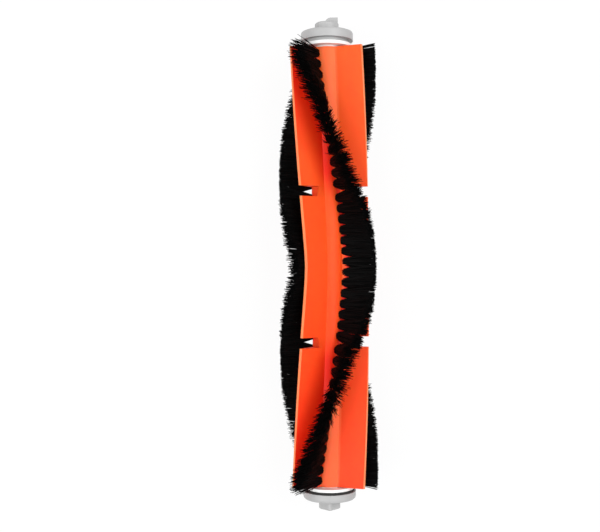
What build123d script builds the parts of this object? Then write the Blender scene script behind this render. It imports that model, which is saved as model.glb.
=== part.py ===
from build123d import *
import os
from math import cos, radians, sin, sqrt, tan

# Roller brush of a robot vacuum, in millimetres.
# The roller lies along Y: square drive end at -Y, bearing end at +Y, floor below at -Z.
# The origin is on the roller's axis, halfway along its overall length.

# Along the axis, measured from the point of the V pattern
POINT_OF_V = -1.2
SLEEVE_HALF = 78.4
FLANGE_GAP = 0.5
FLANGE_THICK = 1.1
WASHER_THICK = 0.4

# Core
CORE_R = 3.4
CORE_NECK_R = 5.5
FLANGE_R = 8.9
AXLE_R = 1.5
AXLE_SOCKET = 14.0
AXLE_END = 86.0
SPIGOT_SIDE = 3.2
SPIGOT_DEPTH = 13.0

# Rubber sleeve and its three fins
SLEEVE_R = 5.8
FIN_TIP_R = 14.6
FIN_TIP_HALF = 0.5
FIN_FOOT = 33.0
FIN_BURIED = 0.3
FIN_SPANS = 12
FIN_COUNT = 3
FIN_AT_POINT = -33.4
FIN_SLOPE = 0.425
FIN_POINT_ROUND = 5.0
NOTCH_AT = 26.8
NOTCH_LONG = 3.7
NOTCH_FLOOR = 5.0
NOTCH_LOW_SIDE = 3.4
NOTCH_HIGH_SIDE = 2.2

# Three rows of bristle tufts, one between each two fins
ROW_COUNT = 3
ROW_AT_POINT = 69.5
ROW_SLOPE = 1.5
ROW_POINT_ROUND = 3.0
MIDDLE_TUFTS = 14
MIDDLE_END = 24.57
OUTER_TUFTS = 13
OUTER_START = 29.6
OUTER_END = 76.0
MIDDLE_LEAN = 8.0
OUTER_LEAN = 1.0
TUFT_TIP_R = 17.35
TUFT_SOCKET = 2.2
TUFT_ROOT_LONG = 0.84
TUFT_ROOT_WIDE = 0.88
TUFT_TAPER = 3.9
FLAT_SPOT = 17.15

# Drive end
SEAL_R = 9.0
SEAL_THICK = 0.9
DISC_R = 9.5
DISC_THICK = 2.9
DISC_EDGE = 1.1
DISC_HUB_R = 3.0
COLLAR_R = 4.6
COLLAR_HIGH = 0.4
SQUARE_SIDE = 6.0
SQUARE_CORNER = 1.0
SQUARE_END = 87.3
SQUARE_CHAMFER = 0.4

# Ball bearing at the other end: bore 3, outside 8, width 4
BEARING_BORE_R = 1.52
BEARING_R = 4.0
BEARING_WIDE = 4.0
BALL_COUNT = 7
BALL_R = 0.75
BALL_CIRCLE_R = 2.75
CAGE_WALL = 0.4
CAGE_FINGER = 0.6
CAGE_FINGER_LONG = 1.6
SHIELD_THICK = 0.25
RUNNING_GAP = 0.05
BALL_PLAY = 0.01

# Bearing cap
CAP_START = 80.25
CAP_SKIRT_R = 7.6
CAP_SKIRT_LONG = 1.1
CAP_RIM_R = 9.4
CAP_RIM_END = 84.6
CAP_RIM_ROUND = 0.7
CAP_COLLAR_R = 5.2
CAP_COLLAR_END = 85.2
JOURNAL_R = 4.3
JOURNAL_END = 87.9
JOURNAL_CHAMFER = 0.4
AXLE_CLEAR_R = 1.8
KEY_END = 89.7
KEY_LEFT = -0.8
KEY_RIGHT = 3.95
KEY_ROUND_R = 4.1
KEY_SHOULDER_R = 2.3
KEY_HALF_THICK = 1.5
KEY_SLOT_WIDE = 0.7
KEY_SLOT_DEEP = 0.6

# Derived places along the axis
FLANGE_START = SLEEVE_HALF + FLANGE_GAP
TOP_FLANGE_FACE = FLANGE_START + FLANGE_THICK
LOW_FLANGE_FACE = FLANGE_START + FLANGE_THICK - 0.4
DISC_START = LOW_FLANGE_FACE + SEAL_THICK
DISC_END = DISC_START + DISC_THICK
BEARING_START = TOP_FLANGE_FACE + WASHER_THICK
BEARING_END = BEARING_START + BEARING_WIDE
BEARING_MIDDLE = (BEARING_START + BEARING_END) / 2
INNER_LAND_R = BALL_CIRCLE_R - BALL_R - BALL_PLAY
OUTER_LAND_R = BALL_CIRCLE_R + BALL_R + BALL_PLAY


def place_along(y):
    """Give the place in the part's frame of a distance from the point of the V."""
    return y + POINT_OF_V


def at_station(y):
    """Give a plane across the axis, with local x along +X and local y along +Z."""
    return Plane(origin=(0, place_along(y), 0), x_dir=(1, 0, 0), z_dir=(0, -1, 0))


def turned(profile):
    """Turn a profile of (radius, distance along the axis) points about the axis."""
    points = [(r, place_along(y)) for r, y in profile]
    face = make_face(Polyline(*points, close=True))
    return revolve(face, Axis.Y)


def tube(inner_r, outer_r, start, end):
    """Make a plain ring about the axis."""
    return turned([(inner_r, start), (outer_r, start), (outer_r, end), (inner_r, end)])


def rod(radius, start, end):
    """Make a plain round bar on the axis."""
    return turned([(0, start), (radius, start), (radius, end), (0, end)])


def square_bar(side, corner, start, end):
    """Make a square bar on the axis, standing on one corner."""
    if corner > 0:
        outline = RectangleRounded(side, side, corner)
    else:
        outline = Rectangle(side, side)
    return extrude(at_station(start) * (Rot(0, 0, 45) * outline), start - end)


def fin_angle(y):
    """Give the first fin's angle from +Z towards +X, in degrees, which draws the V."""
    swept = sqrt(y * y + FIN_POINT_ROUND**2) - FIN_POINT_ROUND
    return FIN_AT_POINT - FIN_SLOPE * swept


def row_angle(y):
    """Give the first bristle row's angle where it leaves the sleeve, in degrees."""
    swept = sqrt(y * y + ROW_POINT_ROUND**2) - ROW_POINT_ROUND
    return ROW_AT_POINT - ROW_SLOPE * swept


def polar(radius, angle, across=0.0):
    """Give (x, z) for a radius at an angle from +Z, and a step across that radius."""
    a = radians(angle)
    return (radius * sin(a) + across * cos(a), radius * cos(a) - across * sin(a))


def fin_section(y, k):
    """Draw fin number k at one station: a wide foot and straight flanks up to a narrow tip."""
    angle = fin_angle(y) + 360.0 / FIN_COUNT * k
    corners = [polar(SLEEVE_R - FIN_BURIED, angle - FIN_FOOT), polar(FIN_TIP_R, angle, -FIN_TIP_HALF)]
    corners += [polar(FIN_TIP_R, angle, FIN_TIP_HALF), polar(SLEEVE_R - FIN_BURIED, angle + FIN_FOOT)]
    return at_station(y) * make_face(Polyline(*corners, close=True))


def make_fin(k):
    """Loft one fin along the sleeve, close at the point of the V and even beyond it."""
    step = (SLEEVE_HALF - FIN_POINT_ROUND) / FIN_SPANS
    stations = [0.0] + [FIN_POINT_ROUND + step * i for i in range(FIN_SPANS + 1)]
    stations = [-y for y in reversed(stations[1:])] + stations
    return loft([fin_section(y, k) for y in stations], ruled=True)


def notch(y, k):
    """Make the block that cuts one notch through fin number k, wider on its low-angle side."""
    angle = fin_angle(y) + 360.0 / FIN_COUNT * k
    high = FIN_TIP_R + 2 - NOTCH_FLOOR
    wide = NOTCH_LOW_SIDE + NOTCH_HIGH_SIDE
    block = Box(wide, NOTCH_LONG, high, align=(Align.MIN, Align.CENTER, Align.MIN))
    return Pos(0, place_along(y), 0) * Rot(0, angle, 0) * Pos(-NOTCH_LOW_SIDE, 0, NOTCH_FLOOR) * block


def make_rubber_sleeve(tufts):
    """Mould the sleeve over the core, with notched fins and a hole for each tuft."""
    body = tube(CORE_R, SLEEVE_R, -SLEEVE_HALF, SLEEVE_HALF)
    body += [make_fin(k) for k in range(FIN_COUNT)]
    body -= [notch(side * NOTCH_AT, k) for side in (-1, 1) for k in range(FIN_COUNT)]
    return body - tufts


def tuft_runs():
    """List where the tufts stand along one row, in the three runs between the notches."""
    pitch_middle = 2 * MIDDLE_END / (MIDDLE_TUFTS - 1)
    pitch_outer = (OUTER_END - OUTER_START) / (OUTER_TUFTS - 1)
    middle = [-MIDDLE_END + pitch_middle * i for i in range(MIDDLE_TUFTS)]
    outer = [OUTER_START + pitch_outer * i for i in range(OUTER_TUFTS)]
    return {"drive": [-y for y in outer], "middle": middle, "bearing": outer}


def make_tuft(y, row):
    """Make one tuft, from the bottom of its hole to its cut end, flaring outwards."""
    lean = MIDDLE_LEAN if abs(y) <= MIDDLE_END else OUTER_LEAN
    root_angle = row_angle(y) + 360.0 / ROW_COUNT * row
    x0, z0 = polar(SLEEVE_R, root_angle)
    x1, z1 = polar(TUFT_TIP_R, root_angle + lean)
    out = Vector(x1 - x0, 0, z1 - z0)
    length = out.length + TUFT_SOCKET
    out = out.normalized()
    start = Vector(x0, place_along(y), z0) - out * TUFT_SOCKET
    root = Plane(origin=start, x_dir=(0, 1, 0), z_dir=out)
    corners = []
    for height in (0, length):
        along = TUFT_ROOT_LONG + height * tan(radians(TUFT_TAPER))
        across = TUFT_ROOT_WIDE + height * tan(radians(TUFT_TAPER))
        for i, j in ((-1, -1), (-1, 1), (1, 1), (1, -1)):
            corners.append(root.from_local_coords((i * along, j * across, height)))
    return ConvexPolyhedron(corners)


def flatten(tufts):
    """Press the lowest tufts flat where the resting roller's weight lies on them."""
    floor = Pos(0, 0, -FLAT_SPOT) * Box(60, 200, 10, align=(Align.CENTER, Align.CENTER, Align.MAX))
    low = [t for t in tufts if t.bounding_box().min.Z < -FLAT_SPOT]
    rest = [t for t in tufts if t.bounding_box().min.Z >= -FLAT_SPOT]
    return rest + [t - floor for t in low]


def make_core():
    """Mould the core bar, with two flanges and a socket at each end."""
    neck_low = -SLEEVE_HALF - (LOW_FLANGE_FACE - SLEEVE_HALF - FLANGE_THICK + 0.1)
    profile = [(0, -LOW_FLANGE_FACE), (FLANGE_R, -LOW_FLANGE_FACE), (FLANGE_R, neck_low)]
    profile += [(CORE_NECK_R, neck_low), (CORE_NECK_R, -SLEEVE_HALF)]
    profile += [(CORE_R, -SLEEVE_HALF), (CORE_R, SLEEVE_HALF)]
    profile += [(CORE_NECK_R, SLEEVE_HALF), (CORE_NECK_R, FLANGE_START)]
    profile += [(FLANGE_R, FLANGE_START), (FLANGE_R, TOP_FLANGE_FACE), (0, TOP_FLANGE_FACE)]
    core = turned(profile)
    core -= rod(AXLE_R, TOP_FLANGE_FACE - AXLE_SOCKET, TOP_FLANGE_FACE + 1)
    core -= square_bar(SPIGOT_SIDE, 0, -LOW_FLANGE_FACE - 1, SPIGOT_DEPTH - LOW_FLANGE_FACE)
    return core


def make_stub_axle():
    """Turn the steel pin that the bearing slides onto, with a lead-in at its end."""
    e = 0.3
    start = TOP_FLANGE_FACE - AXLE_SOCKET
    profile = [(0, start), (AXLE_R, start), (AXLE_R, AXLE_END - e), (AXLE_R - e, AXLE_END), (0, AXLE_END)]
    return turned(profile)


def make_drive_plug():
    """Mould the drive end: spigot, hub, disc with a rounded edge, collar and square."""
    e = DISC_EDGE
    rim = [(0, -LOW_FLANGE_FACE), (DISC_HUB_R, -LOW_FLANGE_FACE), (DISC_HUB_R, -DISC_START)]
    rim += [(DISC_R, -DISC_START), (DISC_R, -DISC_END + e)]
    rim += [(DISC_R - e * (1 - cos(radians(a))), -DISC_END + e - e * sin(radians(a))) for a in (30, 60, 90)]
    rim += [(COLLAR_R, -DISC_END), (COLLAR_R, -DISC_END - COLLAR_HIGH), (0, -DISC_END - COLLAR_HIGH)]
    plug = turned(rim)
    plug += square_bar(SPIGOT_SIDE, 0, -LOW_FLANGE_FACE, SPIGOT_DEPTH - LOW_FLANGE_FACE)
    square = square_bar(SQUARE_SIDE, SQUARE_CORNER, -SQUARE_END, -DISC_END)
    tip = square.faces().sort_by(Axis.Y)[0]
    square = chamfer(tip.edges(), SQUARE_CHAMFER)
    return plug + square


def make_bearing_cap():
    """Mould the cap: skirt, rim, collar, round journal and raised key; hollow inside."""
    e = CAP_RIM_ROUND
    low = CAP_RIM_END - e
    k = JOURNAL_CHAMFER
    skirt_end = CAP_START + CAP_SKIRT_LONG
    outside = [(0, CAP_START), (CAP_SKIRT_R, CAP_START), (CAP_SKIRT_R, skirt_end)]
    outside += [(CAP_RIM_R, skirt_end), (CAP_RIM_R, low)]
    outside += [(CAP_RIM_R - e * (1 - cos(radians(a))), low + e * sin(radians(a))) for a in (45, 90)]
    outside += [(CAP_COLLAR_R, CAP_RIM_END), (CAP_COLLAR_R, CAP_COLLAR_END)]
    outside += [(JOURNAL_R, CAP_COLLAR_END), (JOURNAL_R, JOURNAL_END - k)]
    outside += [(JOURNAL_R - k, JOURNAL_END), (0, JOURNAL_END)]
    cap = turned(outside)
    cap += make_key()
    cap -= rod(BEARING_R, CAP_START - 1, BEARING_END)
    cap -= rod(AXLE_CLEAR_R, BEARING_END - 1, AXLE_END + 0.3)
    return cap


def make_key():
    """Make the key that stops the cap turning, with one rounded shoulder and a slot."""
    low = place_along(JOURNAL_END - 1.2)
    top = place_along(KEY_END)
    r = KEY_SHOULDER_R
    corner = (KEY_LEFT + r * (1 - cos(radians(45))), top - r * (1 - sin(radians(45))))
    outline = [Line((KEY_LEFT, low), (KEY_LEFT, top - r))]
    outline += [ThreePointArc((KEY_LEFT, top - r), corner, (KEY_LEFT + r, top))]
    outline += [Line((KEY_LEFT + r, top), (KEY_RIGHT, top))]
    outline += [Line((KEY_RIGHT, top), (KEY_RIGHT, low))]
    outline += [Line((KEY_RIGHT, low), (KEY_LEFT, low))]
    key = extrude(make_face(outline), KEY_HALF_THICK, both=True)
    key &= rod(KEY_ROUND_R, JOURNAL_END - 1.2, KEY_END)
    slot = Box(KEY_SLOT_WIDE, KEY_SLOT_DEEP, 2 * JOURNAL_R)
    foot = (KEY_LEFT - KEY_SLOT_WIDE / 2, place_along(JOURNAL_END - KEY_SLOT_DEEP / 2), 0)
    return key - Pos(*foot) * slot


def make_drive_seal():
    """Punch the felt washer between the core's flange and the drive disc."""
    return tube(DISC_HUB_R, SEAL_R, -DISC_START, -LOW_FLANGE_FACE)


def make_spacer():
    """Make the small washer that keeps the bearing off the flange."""
    return tube(AXLE_R, INNER_LAND_R, TOP_FLANGE_FACE, BEARING_START)


def ball_points():
    """List the corners of a many-sided ball: an icosahedron with its edges halved."""
    g = (1 + sqrt(5)) / 2
    corners = []
    for s in (-1, 1):
        for u in (-g, g):
            corners += [Vector(0, s, u), Vector(s, u, 0), Vector(u, 0, s)]
    near = [(a, b) for a in corners for b in corners if 0 < (a - b).length < 2.1]
    halves = [(a + b) / 2 for a, b in near if (a.X, a.Y, a.Z) < (b.X, b.Y, b.Z)]
    return [v.normalized() * BALL_R for v in corners + halves]


def around_bearing(shape, shift=0.0):
    """Repeat a shape once per ball, turned by a share of the step between balls."""
    step = 360.0 / BALL_COUNT
    middle = Pos(0, place_along(BEARING_MIDDLE), 0)
    turns = [Rot(0, step * (i + shift), 0) for i in range(BALL_COUNT)]
    return [middle * turn * Pos(0, 0, BALL_CIRCLE_R) * shape for turn in turns]


def make_balls():
    """Place the balls around the bearing."""
    return around_bearing(ConvexPolyhedron(ball_points()))


def make_cage():
    """Make the crown cage: a thin ring beside the balls, with fingers between them."""
    half = CAGE_WALL / 2
    start = BEARING_MIDDLE + BALL_R + RUNNING_GAP
    ring = tube(BALL_CIRCLE_R - half, BALL_CIRCLE_R + half, start, start + CAGE_WALL)
    middle = start + CAGE_WALL / 2 - CAGE_FINGER_LONG / 2 - BEARING_MIDDLE
    finger = Pos(0, middle, 0) * Box(CAGE_FINGER, CAGE_FINGER_LONG, CAGE_WALL)
    return ring + around_bearing(finger, 0.5)


def make_shield(start):
    """Make one of the two thin shields that close the bearing."""
    return tube(INNER_LAND_R + RUNNING_GAP, OUTER_LAND_R, start, start + SHIELD_THICK)


def write_part(name, shape):
    """Write one named piece."""
    if isinstance(shape, list):
        shape = Compound(children=[solid for item in shape for solid in item.solids()])
    shape.label = name
    export_step(shape, f"parts/{name}.step")


def main():
    """Build every piece and write it."""
    os.makedirs("parts", exist_ok=True)
    runs = {}
    for row in range(ROW_COUNT):
        for end, stations in tuft_runs().items():
            runs[f"bristles_{row + 1}_{end}"] = [make_tuft(y, row) for y in stations]
    every_tuft = [tuft for run in runs.values() for tuft in run]
    write_part("core", make_core())
    write_part("rubber_sleeve", make_rubber_sleeve(every_tuft))
    for name, run in runs.items():
        write_part(name, flatten(run))
    write_part("drive_plug", make_drive_plug())
    write_part("drive_seal", make_drive_seal())
    write_part("stub_axle", make_stub_axle())
    write_part("spacer_washer", make_spacer())
    write_part("bearing_inner_ring", tube(BEARING_BORE_R, INNER_LAND_R, BEARING_START, BEARING_END))
    write_part("bearing_outer_ring", tube(OUTER_LAND_R, BEARING_R, BEARING_START, BEARING_END))
    for number, ball in enumerate(make_balls(), 1):
        write_part(f"bearing_ball_{number}", ball)
    write_part("ball_cage", make_cage())
    write_part("inner_shield", make_shield(BEARING_START))
    write_part("outer_shield", make_shield(BEARING_END - SHIELD_THICK))
    write_part("bearing_cap", make_bearing_cap())


main()
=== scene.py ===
"""Looks of a robot vacuum roller brush: moulded finishes, a smooth rubber sleeve and real filaments."""

import logging
import math
import random
from dataclasses import dataclass, field
from enum import Enum

import bmesh
import bpy
from mathutils import Matrix, Vector

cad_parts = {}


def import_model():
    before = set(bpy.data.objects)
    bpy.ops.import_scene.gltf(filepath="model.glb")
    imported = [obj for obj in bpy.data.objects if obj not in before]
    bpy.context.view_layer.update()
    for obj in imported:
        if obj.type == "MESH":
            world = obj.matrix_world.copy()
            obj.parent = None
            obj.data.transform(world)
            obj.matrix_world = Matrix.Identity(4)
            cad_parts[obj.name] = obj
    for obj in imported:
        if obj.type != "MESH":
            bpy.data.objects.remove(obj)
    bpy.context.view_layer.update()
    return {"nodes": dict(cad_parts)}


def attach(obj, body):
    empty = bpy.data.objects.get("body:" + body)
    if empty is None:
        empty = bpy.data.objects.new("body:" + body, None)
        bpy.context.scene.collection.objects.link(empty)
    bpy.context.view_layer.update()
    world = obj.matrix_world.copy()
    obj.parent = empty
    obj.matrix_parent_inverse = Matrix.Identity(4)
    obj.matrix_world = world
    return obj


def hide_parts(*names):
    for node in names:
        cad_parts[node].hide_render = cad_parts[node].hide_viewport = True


LOG = logging.getLogger("roller_brush")
MM = 0.001
WHITE = (1, 1, 1, 1)
GOLDEN_TURN = 2.39996
Colour = tuple[float, float, float]
Place = tuple[float, float, float]
Span = tuple[float, float]


class Signal:
    """A shader value that takes part in Python expressions."""

    def __init__(self, graph: "Graph", socket: bpy.types.NodeSocket) -> None:
        """Keep the graph and the socket that gives the value.

        Args:
            graph: The node tree that the value belongs to.
            socket: The output that gives it.
        """
        self.graph = graph
        self.socket = socket

    def _math(self, operation: str, first: "Signal | float", second: "Signal | float") -> "Signal":
        """Add one Math node for an operation on two values.

        Args:
            operation: The Math node's operation.
            first: The value on its left.
            second: The value on its right.

        Returns:
            The result.
        """
        return self.graph.node("ShaderNodeMath", {"operation": operation}, {0: first, 1: second})

    def __add__(self, other: "Signal | float") -> "Signal":
        """Add a value."""
        return self._math("ADD", self, other)

    def __radd__(self, other: float) -> "Signal":
        """Add to a number."""
        return self._math("ADD", other, self)

    def __sub__(self, other: "Signal | float") -> "Signal":
        """Take a value away."""
        return self._math("SUBTRACT", self, other)

    def __rsub__(self, other: float) -> "Signal":
        """Take away from a number."""
        return self._math("SUBTRACT", other, self)

    def __mul__(self, other: "Signal | float") -> "Signal":
        """Multiply by a value."""
        return self._math("MULTIPLY", self, other)

    def __rmul__(self, other: float) -> "Signal":
        """Multiply a number."""
        return self._math("MULTIPLY", other, self)

    def __truediv__(self, other: "Signal | float") -> "Signal":
        """Divide by a value."""
        return self._math("DIVIDE", self, other)

    def __rtruediv__(self, other: float) -> "Signal":
        """Divide a number."""
        return self._math("DIVIDE", other, self)

    def __pow__(self, other: "Signal | float") -> "Signal":
        """Raise to a power."""
        return self._math("POWER", self, other)

    def size(self) -> "Signal":
        """Drop the sign."""
        return self._math("ABSOLUTE", self, 0.0)

    def rising(self, start: float, end: float) -> "Signal":
        """Make a mask that goes from nought at one value to one at another.

        Args:
            start: The value at which the mask is nought.
            end: The value at which it is one, above the start or below it.

        Returns:
            The mask, held between nought and one.
        """
        return self.graph.node("ShaderNodeClamp", {}, {0: (self - start) / (end - start)})

    def angle_to(self, other: "Signal") -> "Signal":
        """Give the angle, in degrees, whose tangent is this value over the other."""
        return self._math("ARCTAN2", self, other) * math.degrees(1)

    def wrapped(self, least: float, most: float) -> "Signal":
        """Repeat the value between two limits.

        Args:
            least: The lower limit.
            most: The upper limit.

        Returns:
            The repeating value.
        """
        return self.graph.node("ShaderNodeMath", {"operation": "WRAP"}, {0: self, 1: most, 2: least})

    def sibling(self, name: str) -> "Signal":
        """Read another output of the same node."""
        return Signal(self.graph, self.socket.node.outputs[name])


class Graph:
    """The node tree of one material or of the world."""

    def __init__(self, owner: "bpy.types.Material | bpy.types.World") -> None:
        """Start an empty node tree.

        Args:
            owner: The new material or world.
        """
        owner.use_nodes = True
        self.owner = owner
        self.tree = owner.node_tree
        self.tree.nodes.clear()

    def node(
        self, kind: str, settings: dict | None = None, inputs: dict | None = None, output: int | str = 0
    ) -> Signal:
        """Add any node.

        Args:
            kind: The node's type.
            settings: Attributes that are set first.
            inputs: Values or links of its sockets, by name or number.
            output: The socket that the returned signal reads.

        Returns:
            The chosen output as a signal.
        """
        made = self.tree.nodes.new(kind)
        for key, value in (settings or {}).items():
            setattr(made, key, value)
        for key, value in (inputs or {}).items():
            if isinstance(value, Signal):
                self.tree.links.new(value.socket, made.inputs[key])
            else:
                made.inputs[key].default_value = value
        return Signal(self, made.outputs[output])

    def place(self, stretch: Colour = (1, 1, 1)) -> Signal:
        """Read the place on the object, stretched along each axis."""
        spot = self.node("ShaderNodeTexCoord", output="Object")
        return self.node("ShaderNodeMapping", {}, {"Vector": spot, "Scale": stretch})

    def coordinates(self) -> tuple[Signal, Signal, Signal]:
        """Give the three coordinates of the place on the object, in millimetres."""
        x = self.node("ShaderNodeSeparateXYZ", {}, {0: self.place()}, "X")
        return x / MM, x.sibling("Y") / MM, x.sibling("Z") / MM

    def noise(self, size: float, detail: float = 2.0, stretch: Colour = (1, 1, 1)) -> Signal:
        """Make cloudy noise.

        Args:
            size: The size of a grain in millimetres.
            detail: How many finer layers it has.
            stretch: How the pattern is scaled along each axis; below one draws it out.

        Returns:
            The noise, from nought to one.
        """
        inputs = {"Vector": self.place(stretch), "Scale": 1 / (size * MM), "Detail": detail}
        return self.node("ShaderNodeTexNoise", {}, inputs)

    def blend(self, mask: Signal, first: "Signal | Colour", second: "Signal | Colour") -> Signal:
        """Blend from one colour to another.

        Args:
            mask: Nought for the first colour and one for the second.
            first: A plain colour or a link.
            second: A plain colour or a link.

        Returns:
            The blended colour.
        """
        ends = [end if isinstance(end, Signal) else (*end, 1) for end in (first, second)]
        return self.node("ShaderNodeMix", {"data_type": "RGBA"}, {0: mask, 6: ends[0], 7: ends[1]}, 2)

    def bump(self, height: Signal, depth: float, strength: float) -> Signal:
        """Turn a height mask into a bumped normal.

        Args:
            height: The mask, from nought to one.
            depth: How deep it goes, in millimetres.
            strength: How much of it shows.

        Returns:
            The normal.
        """
        inputs = {"Strength": strength, "Distance": depth * MM, "Height": height}
        return self.node("ShaderNodeBump", {}, inputs)

    def shaders(self, factor: Signal, first: Signal, second: Signal) -> Signal:
        """Mix two shaders by a factor."""
        return self.node("ShaderNodeMixShader", {}, {0: factor, 1: first, 2: second})

    def rays_that_see_white(self) -> Signal:
        """Give one for the rays that show the background, and nought for those that carry light."""
        camera = self.node("ShaderNodeLightPath", output="Is Camera Ray")
        return camera + camera.sibling("Is Glossy Ray") + camera.sibling("Is Transmission Ray")

    def close(self, surface: Signal) -> None:
        """Link a shader to the output of the material or world."""
        in_world = isinstance(self.owner, bpy.types.World)
        out = self.tree.nodes.new("ShaderNodeOutputWorld" if in_world else "ShaderNodeOutputMaterial")
        self.tree.links.new(surface.socket, out.inputs["Surface"])

    def finish(self, **inputs: "Signal | float | tuple") -> bpy.types.Material:
        """Close the graph with one surface shader.

        Args:
            inputs: Values or links of its sockets, with underscores for spaces.

        Returns:
            The finished material.
        """
        named = {key.replace("_", " "): value for key, value in inputs.items()}
        self.close(self.node("ShaderNodeBsdfPrincipled", {}, named))
        return self.owner


@dataclass(frozen=True)
class VLine:
    """A line in V form round the roller, with its point rounded.

    Attributes:
        at_point: Its angle at the point of the V, in degrees from +Z towards +X.
        slope: How many degrees it goes back for each millimetre.
        rounding: The length over which its point is rounded, in millimetres.
    """

    at_point: float
    slope: float
    rounding: float

    def angle(self, y: "Signal | float") -> "Signal | float":
        """Give the line's angle, for a number as well as inside a material.

        Args:
            y: The distance from the point of the V, in millimetres.

        Returns:
            The angle in degrees.
        """
        away = (y * y + self.rounding**2) ** 0.5 - self.rounding
        return self.at_point - away * self.slope


@dataclass(frozen=True)
class RollerPlan:
    """Sizes that sleeve and bristles share, in millimetres and degrees.

    Distances along the axis are measured from the point of the V.
    """

    point_of_v: float = -1.2
    sleeve_r: float = 5.8
    fin: VLine = VLine(-33.4, 0.425, 5.0)
    row: VLine = VLine(69.5, 1.5, 3.0)
    row_step: float = 120.0
    tuft_tip_r: float = 17.35
    middle_end: float = 24.57
    floor: float = -17.15

    def point(self, radius: float, angle: float, y: float) -> Vector:
        """Give the place of a radius and angle at a station.

        Args:
            radius: The distance from the axis, in millimetres.
            angle: The angle in degrees from +Z towards +X.
            y: The distance from the point of the V, in millimetres.

        Returns:
            The place in metres.
        """
        turn = math.radians(angle)
        return Vector((radius * math.sin(turn), y + self.point_of_v, radius * math.cos(turn))) * MM


@dataclass(frozen=True)
class SoftRubber:
    """Smooth moulded rubber, with painted highlights on the fins' edges and on a strip past each outer row,
    painted shade in deep red beside the rows and at the tufts' feet, and a painted light gradient along the
    length.

    A span gives the values at which its mask is nought and one, in degrees past the row or in
    millimetres from the axis.
    """

    plan: RollerPlan
    light: Colour = (0.98, 0.100, 0.010)
    deep: Colour = (0.95, 0.052, 0.005)
    # Painted highlight colour, for the fins' outer edges and the sheen strip past each outer row.
    edge: Colour = (1.0, 0.23, 0.085)
    # Painted shade colour: deep red where the tufts keep the light off.
    painted_shade_red: Colour = (1.0, 0.012, 0.002)
    roughness: float = 0.46
    # Painted light gradient: how much paler the rubber gets per millimetre along +Y.
    painted_light_per_mm: float = 0.006
    # Spans and share of the painted shade beside the rows and at the tufts' feet.
    hollow_from_fin: Span = (-60.0, -32.0)
    hollow_to_row: Span = (4.0, -4.0)
    painted_shade_share: float = 0.9
    foot_before_row: Span = (-6.0, -1.0)
    foot_after_row: Span = (26.0, 14.0)
    foot_r: Span = (12.0, 8.0)
    # Spans and share of the painted sheen strip past each outer row.
    barrel_after_row: Span = (6.0, 14.0)
    barrel_r: Span = (6.6, 6.0)
    painted_sheen_share: float = 0.45
    # Radii over which the fins' edges take the painted highlight.
    edge_highlight_r: Span = (14.42, 14.545)
    outer_fade: float = 9.0

    def material(self) -> bpy.types.Material:
        """Build the rubber.

        Returns:
            The material.
        """
        graph = Graph(bpy.data.materials.new("orange_rubber"))
        flow = graph.noise(size=6.0, detail=3.0, stretch=(1, 0.16, 1))
        bloom = graph.noise(size=1.4, detail=4.0)
        grain = graph.noise(size=0.16)
        x, y, z = graph.coordinates()
        radius = (x * x + z * z) ** 0.5
        # Random tone from the noise, plus a painted light gradient that makes the rubber paler towards +Y.
        tone_and_painted_light = flow * 0.5 + bloom * 0.2 + y * self.painted_light_per_mm + 0.15
        station = y - self.plan.point_of_v
        fin = self.plan.fin.angle(station)
        past_fin = (x.angle_to(z) - fin).wrapped(0.0, self.plan.row_step)
        past_row = past_fin - (self.plan.row.angle(station) - fin)
        outer = station.size().rising(self.plan.middle_end, self.plan.middle_end + self.outer_fade)
        colour = graph.blend(tone_and_painted_light, self.deep, self.light)
        # Painted shade: deep red beside the rows and at the tufts' feet, where the tufts keep the light
        # off.
        colour = graph.blend(self._painted_shade(past_row, outer, radius), colour, self.painted_shade_red)
        # Painted highlight: a paler sheen strip on the round core past each outer row.
        colour = graph.blend(self._painted_sheen(past_row, outer, radius), colour, self.edge)
        # Painted highlight: the fins' outer edges lightened as if they caught the light.
        colour = graph.blend(radius.rising(*self.edge_highlight_r), colour, self.edge)
        return graph.finish(
            Base_Color=colour,
            Roughness=self.roughness + bloom * 0.12 - flow * 0.06,
            Normal=graph.bump(grain * 0.4 + flow * 1.6, depth=0.06, strength=0.35),
            Specular_IOR_Level=0.18,
            Subsurface_Weight=0.45,
            Subsurface_Radius=(1.0, 0.12, 0.04),
            Subsurface_Scale=3 * MM,
        )

    def _painted_shade(self, past_row: Signal, outer: Signal, radius: Signal) -> Signal:
        """Mask the painted shade: the low side of each outer row and the foot of every tuft in the middle,
        where the tufts keep the light off.

        Args:
            past_row: How many degrees the place is past the row.
            outer: One along the outer runs and nought in the middle.
            radius: The distance from the axis, in millimetres.

        Returns:
            The mask.
        """
        low_side = past_row.rising(*self.hollow_from_fin) * past_row.rising(*self.hollow_to_row)
        foot = past_row.rising(*self.foot_before_row) * past_row.rising(*self.foot_after_row)
        return low_side * outer * self.painted_shade_share + foot * radius.rising(*self.foot_r) * (1.0 - outer)

    def _painted_sheen(self, past_row: Signal, outer: Signal, radius: Signal) -> Signal:
        """Mask the painted sheen: the round strip between an outer row and the next fin's foot, lightened
        as if it caught the light.

        Args:
            past_row: How many degrees the place is past the row.
            outer: One along the outer runs and nought in the middle.
            radius: The distance from the axis, in millimetres.

        Returns:
            The mask.
        """
        strip = past_row.rising(*self.barrel_after_row) * radius.rising(*self.barrel_r)
        return strip * outer * self.painted_sheen_share


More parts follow.
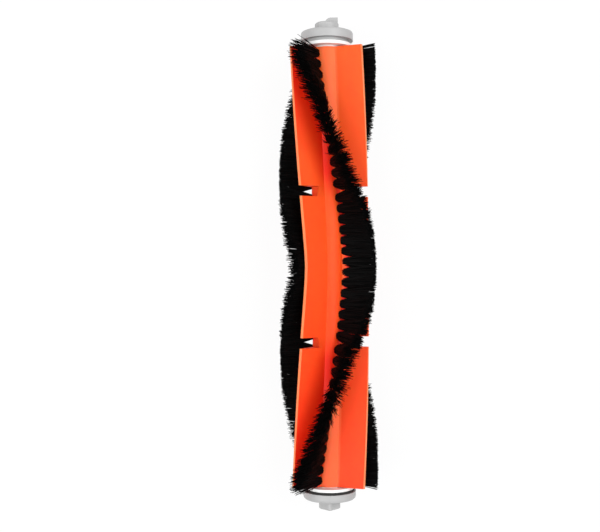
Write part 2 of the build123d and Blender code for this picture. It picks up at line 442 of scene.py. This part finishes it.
@dataclass(frozen=True)
class NylonFilament:
    """Drawn nylon, dyed through, with a dull gloss that varies along the bundle."""

    dark: Colour = (0.0010, 0.0010, 0.0011)
    light: Colour = (0.004, 0.004, 0.004)
    roughness: float = 0.5

    def material(self) -> bpy.types.Material:
        """Build the nylon.

        Returns:
            The material.
        """
        graph = Graph(bpy.data.materials.new("black_nylon"))
        streak = graph.noise(size=0.5)
        return graph.finish(
            Base_Color=graph.blend(streak, self.dark, self.light),
            Roughness=self.roughness + streak * 0.2,
            Specular_IOR_Level=0.04,
        )


@dataclass(frozen=True)
class MouldedPlastic:
    """Satin injection-moulded plastic with a fine grain from the tool."""

    name: str
    light: Colour
    shade: float = 0.93
    roughness: float = 0.4

    def material(self) -> bpy.types.Material:
        """Build the plastic.

        Returns:
            The material.
        """
        graph = Graph(bpy.data.materials.new(self.name))
        cloud = graph.noise(size=5.0, detail=3.0)
        grain = graph.noise(size=0.12)
        dark = tuple(self.shade * part for part in self.light)
        return graph.finish(
            Base_Color=graph.blend(cloud, dark, self.light),
            Roughness=self.roughness + cloud * 0.1,
            Normal=graph.bump(grain, depth=0.03, strength=0.3),
        )


@dataclass(frozen=True)
class PressedFelt:
    """Dark wool felt with short loose fibres."""

    dark: Colour = (0.008, 0.008, 0.008)
    light: Colour = (0.035, 0.034, 0.033)
    roughness: float = 0.95

    def material(self) -> bpy.types.Material:
        """Build the felt.

        Returns:
            The material.
        """
        graph = Graph(bpy.data.materials.new("dark_felt"))
        fibre = graph.noise(size=0.25, detail=6.0)
        return graph.finish(
            Base_Color=graph.blend(fibre, self.dark, self.light),
            Roughness=self.roughness,
            Normal=graph.bump(fibre, depth=0.15, strength=0.9),
        )


@dataclass(frozen=True)
class GroundSteel:
    """Bearing steel, ground round the axis, with fine rings."""

    dark: Colour = (0.42, 0.42, 0.44)
    light: Colour = (0.6, 0.6, 0.62)
    roughness: float = 0.22

    def material(self) -> bpy.types.Material:
        """Build the steel.

        Returns:
            The material.
        """
        graph = Graph(bpy.data.materials.new("steel"))
        rings = graph.noise(size=0.6, detail=3.0, stretch=(0.15, 4.0, 0.15))
        return graph.finish(
            Base_Color=graph.blend(rings, self.dark, self.light),
            Metallic=1.0,
            Roughness=self.roughness + rings * 0.16,
            Normal=graph.bump(rings, depth=0.01, strength=0.3),
        )


@dataclass(frozen=True)
class PaleFloor:
    """A white table that keeps a weak shadow and shows white to the camera and in reflections."""

    colour: Colour = (0.86, 0.86, 0.86)
    shade: float = 0.98
    white_share: float = 0.93

    def material(self) -> bpy.types.Material:
        """Build the floor.

        Returns:
            The material.
        """
        material = bpy.data.materials.new("pale_floor")
        graph = Graph(material)
        dark = tuple(self.shade * part for part in self.colour)
        tone = graph.blend(graph.noise(size=40.0), dark, self.colour)
        plain = graph.node("ShaderNodeBsdfDiffuse", {}, {"Color": tone})
        glow = graph.node("ShaderNodeEmission", {}, {"Color": WHITE, "Strength": 1.0})
        graph.close(graph.shaders(graph.rays_that_see_white() * self.white_share, plain, glow))
        return material


@dataclass
class CarriedSolids:
    """Solids that keep their own shape and only get their finish."""

    nodes: dict[str, bpy.types.Object]
    grey: bpy.types.Material

    def _dress(self, finish: bpy.types.Material, *names: str) -> None:
        """Give the same finish to several nodes.

        Args:
            finish: The material.
            names: The nodes that get it.
        """
        for name in names:
            surface = self.nodes[name].data.materials
            surface.clear()
            surface.append(finish)
            LOG.info("%s: %s", name, finish.name)


@dataclass
class RollerBody(CarriedSolids):
    """The core with its sleeve, and the seal and square driver at its lower end."""

    plan: RollerPlan
    white: Colour = (0.84, 0.84, 0.83)

    def dress(self) -> None:
        """Give every solid of the roller its finish."""
        self._dress(MouldedPlastic("white_plastic", self.white).material(), "core")
        self._dress(SoftRubber(self.plan).material(), "rubber_sleeve")
        self._dress(PressedFelt().material(), "drive_seal")
        self._dress(self.grey, "drive_plug")


@dataclass
class CapAndBearing(CarriedSolids):
    """The pull-off cap, the ball bearing in it and the axle that it sits on."""

    balls: int = 7
    natural_nylon: Colour = (0.72, 0.66, 0.52)

    def dress(self) -> None:
        """Give every solid of the cap and its bearing its finish."""
        steel = GroundSteel().material()
        self._dress(self.grey, "bearing_cap")
        self._dress(MouldedPlastic("cage_plastic", self.natural_nylon).material(), "ball_cage")
        self._dress(steel, "stub_axle", "spacer_washer", "bearing_inner_ring", "bearing_outer_ring")
        self._dress(steel, "inner_shield", "outer_shield")
        self._dress(steel, *(f"bearing_ball_{number + 1}" for number in range(self.balls)))


class TuftStyle(Enum):
    """How a tuft stands in its row."""

    LEANING = "leaning"
    UPRIGHT = "upright"
    FRAYED = "frayed"


class Run(Enum):
    """The three runs of a row, between its gaps."""

    DRIVE = "drive"
    MIDDLE = "middle"
    BEARING = "bearing"


@dataclass(frozen=True)
class TuftForm:
    """How one style of tuft spreads from its hole to its cut end, in millimetres.

    Attributes:
        lean: How many degrees round the axis its tip is past its hole.
        tip_along: Half its length along the roller at the tip.
        tip_fin_side: Half its width at the tip towards the next fin, where it may have less room.
        tip_free_side: Half its width at the tip on the other side.
        stray: How far single filaments stray across the row.
        stray_along: How far they stray along the roller.
        curl_along: The power by which it widens along the roller; below one it widens early.
        curl_across: The power by which it widens across the row.
        root_along: Half its length in its hole.
        root_across: Half its width in its hole.
        clump: How far groups of filaments stray together.
        uneven: How unevenly the groups are cut.
    """

    lean: float
    tip_along: float
    tip_fin_side: float
    tip_free_side: float
    stray: float
    stray_along: float = 0.5
    curl_along: float = 0.7
    curl_across: float = 1.3
    root_along: float = 1.25
    root_across: float = 1.12
    clump: float = 0.26
    uneven: float = 0.17


TUFT_FORMS = {
    TuftStyle.LEANING: TuftForm(8.0, 2.8, 1.6, 3.4, 0.22, curl_along=0.8),
    TuftStyle.UPRIGHT: TuftForm(1.0, 2.4, 3.2, 3.4, 0.45),
    TuftStyle.FRAYED: TuftForm(1.0, 2.5, 3.2, 3.2, 0.80, stray_along=0.8, clump=0.4),
}

# Degrees that the tufts of a run lean further, in each of the three rows.
COMBED = {
    Run.DRIVE: (-4.0, 0.0, 1.5),
    Run.MIDDLE: (0.0, 0.0, 0.0),
    Run.BEARING: (-1.5, 0.0, 1.0),
}


@dataclass
class BristleRows:
    """Three rows of tufts, each in three runs, made of separate filaments; sizes in millimetres."""

    plan: RollerPlan
    filaments: int = 230
    filament_r: float = 0.11
    filament_taper: float = 0.8
    filament_sides: int = 3
    filament_cuts: int = 2
    hidden: float = 1.3
    variants: int = 5
    clumps: int = 14
    squareness: float = 0.8
    turn_jitter: float = 0.2
    cut_jitter: Span = (-0.25, 0.2)
    fin_side_pull: float = 0.2
    middle_tufts: int = 14
    outer_tufts: int = 13
    outer_start: float = 29.6
    outer_end: float = 76.0
    frayed_length: float = 1.0
    gap_reach: float = 0.9
    gap_fade: float = 14.0
    gap_straightens: tuple[float, float, float] = (7.0, 7.0, 2.0)
    lean_jitter: float = 0.7
    place_jitter: float = 0.15
    above_floor: float = 0.02
    seed: int = 20
    bundles: dict[TuftStyle, list[bpy.types.Mesh]] = field(default_factory=dict)

    def build(self, finish: bpy.types.Material) -> None:
        """Build every run and let it stand for its solid.

        Args:
            finish: The nylon.
        """
        straight = self._straight_filament()
        for style in TuftStyle:
            self.bundles[style] = [self._bundle(straight, style, number) for number in range(self.variants)]
        for row in range(len(self.gap_straightens)):
            for run in Run:
                self._build_run(row, run, finish)
        for mesh in (straight, *sum(self.bundles.values(), [])):
            bpy.data.meshes.remove(mesh)

    def _straight_filament(self) -> bpy.types.Mesh:
        """Make one straight filament, a metre high, with cuts at which it can bend.

        Returns:
            The filament's mesh, standing on the origin.
        """
        shape = bmesh.new()
        bmesh.ops.create_cone(
            shape,
            cap_ends=True,
            segments=self.filament_sides,
            radius1=self.filament_r * MM,
            radius2=self.filament_r * self.filament_taper * MM,
            depth=1.0,
            matrix=Matrix.Translation((0, 0, 0.5)),
        )
        upright = [edge for edge in shape.edges if abs(edge.verts[0].co.z - edge.verts[1].co.z) > 0.5]
        bmesh.ops.subdivide_edges(shape, edges=upright, cuts=self.filament_cuts)
        bmesh.ops.recalc_face_normals(shape, faces=shape.faces)
        mesh = bpy.data.meshes.new("straight_filament")
        shape.to_mesh(mesh)
        shape.free()
        return mesh

    def _bundle(self, straight: bpy.types.Mesh, style: TuftStyle, number: int) -> bpy.types.Mesh:
        """Bend many filaments into one tuft that stands on the origin, along +Z.

        Args:
            straight: The filament to repeat.
            style: How the tuft stands.
            number: Which variant this is.

        Returns:
            The tuft's mesh, with +X along the roller and -Y towards the next fin.
        """
        form = TUFT_FORMS[style]
        dice = random.Random(f"{self.seed} {style.value} {number}")
        height = self.plan.tuft_tip_r - self.plan.sleeve_r
        spreads = (form.clump, form.clump, form.uneven)
        clumps = [tuple(dice.gauss(0, spread) for spread in spreads) for _ in range(self.clumps)]
        shape = bmesh.new()
        for number_in_tuft in range(self.filaments):
            reach = math.sqrt((number_in_tuft + 0.5) / self.filaments)
            turn = number_in_tuft * GOLDEN_TURN + dice.uniform(-self.turn_jitter, self.turn_jitter)
            u, v = reach * math.cos(turn), reach * math.sin(turn)
            squarer = max(abs(math.cos(turn)), abs(math.sin(turn))) ** -self.squareness
            side = form.tip_fin_side if v < 0 else form.tip_free_side
            most_pull = self.fin_side_pull if v < 0 else math.inf
            pull_x, pull_y, longer = clumps[dice.randrange(len(clumps))]
            tip_x = u * squarer * form.tip_along + pull_x + dice.gauss(0, form.stray_along)
            tip_y = v * squarer * side + min(pull_y, most_pull) + dice.gauss(0, form.stray)
            round_off = tip_y * tip_y / (2 * self.plan.tuft_tip_r)
            tip = Vector((tip_x, tip_y, height + longer + dice.uniform(*self.cut_jitter) - round_off))
            root = Vector((u * form.root_along, v * form.root_across, -self.hidden))
            twist = Matrix.Rotation(dice.uniform(0, 2), 3, "Z")
            first = len(shape.verts)
            shape.from_mesh(straight)
            shape.verts.ensure_lookup_table()
            self._bend(shape.verts[first:], root, tip, form, twist)
        mesh = bpy.data.meshes.new(f"bundle_{style.value}_{number}")
        shape.to_mesh(mesh)
        shape.free()
        return mesh

    @staticmethod
    def _bend(
        verts: list[bmesh.types.BMVert], root: Vector, tip: Vector, form: TuftForm, twist: Matrix
    ) -> None:
        """Lay a straight filament from its root to its tip, with the tuft's curl.

        Args:
            verts: The filament's vertices, with their height from nought to one.
            root: Where it starts, in millimetres.
            tip: Where it ends, in millimetres.
            form: How the tuft spreads.
            twist: How the filament is turned about itself.
        """
        whole = tip - root
        for vert in verts:
            share = vert.co.z
            along = whole.x * share**form.curl_along
            across = whole.y * share**form.curl_across
            centre = root + Vector((along, across, whole.z * share))
            vert.co = twist @ Vector((vert.co.x, vert.co.y, 0)) + centre * MM

    def _stations(self, run: Run) -> list[float]:
        """List where the tufts of a run stand.

        Args:
            run: The run.

        Returns:
            Distances from the point of the V, in millimetres.
        """
        if run is Run.MIDDLE:
            end = self.plan.middle_end
            return [-end + 2 * end * i / (self.middle_tufts - 1) for i in range(self.middle_tufts)]
        length = self.outer_end - self.outer_start
        places = [self.outer_start + length * i / (self.outer_tufts - 1) for i in range(self.outer_tufts)]
        return places if run is Run.BEARING else [-place for place in places]

    def _style(self, y: float) -> TuftStyle:
        """Choose how a tuft stands by its place in the row."""
        if abs(y) <= self.plan.middle_end:
            return TuftStyle.LEANING
        return TuftStyle.FRAYED if abs(y) > self.outer_end - self.frayed_length else TuftStyle.UPRIGHT

    def _near_gap(self, y: float) -> float:
        """Give how near a tuft is to a gap.

        Args:
            y: The tuft's distance from the point of the V, in millimetres.

        Returns:
            One beside the gap and less away from it, below nought in the outer runs.
        """
        in_middle = abs(y) <= self.plan.middle_end
        away = self.plan.middle_end - abs(y) if in_middle else abs(y) - self.outer_start
        share = max(0.0, 1 - away / self.gap_fade) ** 2
        return share if in_middle else -share

    def _lean(self, y: float, run: Run, row: int) -> float:
        """Give how many degrees a tuft leans, with the middle run straighter beside its gaps.

        Args:
            y: The tuft's distance from the point of the V, in millimetres.
            run: The run that it stands in.
            row: The row that it stands in.

        Returns:
            The lean in degrees.
        """
        straightened = self.gap_straightens[row] * max(0.0, self._near_gap(y))
        return TUFT_FORMS[self._style(y)].lean + COMBED[run][row] - straightened

    def _stand(self, y: float, row: int, lean: float, dice: random.Random) -> Matrix:
        """Give the turn and place of one tuft.

        Args:
            y: The tuft's distance from the point of the V, in millimetres.
            row: The row that it stands in.
            lean: How many degrees its tip is past its root.
            dice: The run's own random numbers.

        Returns:
            The matrix that takes a tuft from the origin to its hole.
        """
        angle = self.plan.row.angle(y) + self.plan.row_step * row
        into_gap = math.copysign(self.gap_reach, y) * self._near_gap(y)
        root = self.plan.point(self.plan.sleeve_r, angle, y)
        tip_y = y + into_gap + dice.gauss(0, self.place_jitter)
        tip = self.plan.point(self.plan.tuft_tip_r, angle + lean, tip_y)
        out = (tip - root).normalized()
        across = out.cross(Vector((0, 1, 0))).normalized()
        along = across.cross(out)
        return Matrix.Translation(root) @ Matrix((along, across, out)).transposed().to_4x4()

    def _build_run(self, row: int, run: Run, finish: bpy.types.Material) -> None:
        """Join the tufts of one run into one piece.

        Args:
            row: The row, from nought.
            run: The run of that row.
            finish: The nylon.
        """
        name = f"bristles_{row + 1}_{run.value}"
        dice = random.Random(f"{self.seed} {name}")
        shape = bmesh.new()
        for number, y in enumerate(self._stations(run)):
            variant = (number * 2 + row) % self.variants
            first = len(shape.verts)
            shape.from_mesh(self.bundles[self._style(y)][variant])
            shape.verts.ensure_lookup_table()
            lean = self._lean(y, run, row) + dice.gauss(0, self.lean_jitter)
            bmesh.ops.transform(shape, matrix=self._stand(y, row, lean, dice), verts=shape.verts[first:])
        lowest = (self.plan.floor + self.above_floor) * MM
        for vert in shape.verts:
            vert.co.z = max(vert.co.z, lowest)
        piece = add_object(shape, f"{name}_filaments", finish)
        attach(piece, "roller")
        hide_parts(name)


def add_object(shape: bmesh.types.BMesh, name: str, finish: bpy.types.Material) -> bpy.types.Object:
    """Turn a finished bmesh into an object of the scene.

    Args:
        shape: The mesh, which is freed.
        name: The object's name.
        finish: Its material.

    Returns:
        The new object.
    """
    mesh = bpy.data.meshes.new(name)
    shape.to_mesh(mesh)
    shape.free()
    mesh.materials.append(finish)
    made = bpy.data.objects.new(name, mesh)
    bpy.context.scene.collection.objects.link(made)
    LOG.info("%s: %d faces", name, len(mesh.polygons))
    return made


@dataclass(frozen=True)
class Lamp:
    """A soft square lamp that faces the roller, with its place and size in metres."""

    name: str
    place: Place
    size: float
    power: float

    def hang(self) -> None:
        """Add the lamp to the scene."""
        light = bpy.data.lights.new(self.name, "AREA")
        light.size = self.size
        light.energy = self.power
        hung = bpy.data.objects.new(self.name, light)
        hung.location = self.place
        hung.rotation_euler = (-Vector(self.place)).to_track_quat("-Z", "Y").to_euler()
        bpy.context.scene.collection.objects.link(hung)


@dataclass
class Studio:
    """Floor, soft light and the camera straight above the lying roller; lengths in metres."""

    floor_height: float
    floor_size: float = 3.0
    sky_strength: float = 0.62
    key: Lamp = Lamp("key", (0.45, 0.12, 0.75), 0.55, 4.9)
    fill: Lamp = Lamp("fill", (-0.5, -0.1, 0.7), 0.6, 4.2)
    camera_place: Place = (-0.01019, -0.00084, 0.34)
    camera_roll: float = -0.35
    focal_pixels: float = 941.0
    image_width: float = 600.0

    def build(self, floor_finish: bpy.types.Material) -> None:
        """Make everything that isn't part of the object.

        Args:
            floor_finish: The floor's material.
        """
        self._lay_floor(floor_finish)
        self._light_sky()
        self.key.hang()
        self.fill.hang()
        self._place_camera()
        bpy.context.scene.view_settings.view_transform = "Standard"

    def _lay_floor(self, finish: bpy.types.Material) -> None:
        """Lay the floor under the lowest bristles."""
        shape = bmesh.new()
        place = Matrix.Translation((0, 0, self.floor_height))
        bmesh.ops.create_grid(shape, x_segments=1, y_segments=1, size=self.floor_size / 2, matrix=place)
        add_object(shape, "floor", finish)

    def _light_sky(self) -> None:
        """Set an even sky that shows white behind the floor."""
        sky = bpy.data.worlds.new("sky")
        graph = Graph(sky)
        light = graph.node("ShaderNodeBackground", {}, {"Color": WHITE, "Strength": self.sky_strength})
        white = graph.node("ShaderNodeBackground", {}, {"Color": WHITE, "Strength": 1.0})
        graph.close(graph.shaders(graph.rays_that_see_white(), light, white))
        bpy.context.scene.world = sky

    def _place_camera(self) -> None:
        """Look straight down, a little from the left of the axis."""
        lens = bpy.data.cameras.new("camera")
        lens.lens = lens.sensor_width * self.focal_pixels / self.image_width
        camera = bpy.data.objects.new("camera", lens)
        camera.location = self.camera_place
        camera.rotation_euler = (0, 0, math.radians(self.camera_roll))
        bpy.context.scene.collection.objects.link(camera)
        bpy.context.scene.camera = camera


def main() -> None:
    """Build every piece."""
    logging.basicConfig(level=logging.INFO, format="%(name)s %(message)s")
    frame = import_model()
    plan = RollerPlan()
    grey = MouldedPlastic("grey_plastic", (0.40, 0.40, 0.40)).material()
    RollerBody(frame["nodes"], grey, plan).dress()
    CapAndBearing(frame["nodes"], grey).dress()
    BristleRows(plan).build(NylonFilament().material())
    Studio(plan.floor * MM).build(PaleFloor().material())


if __name__ == "__main__":
    main()
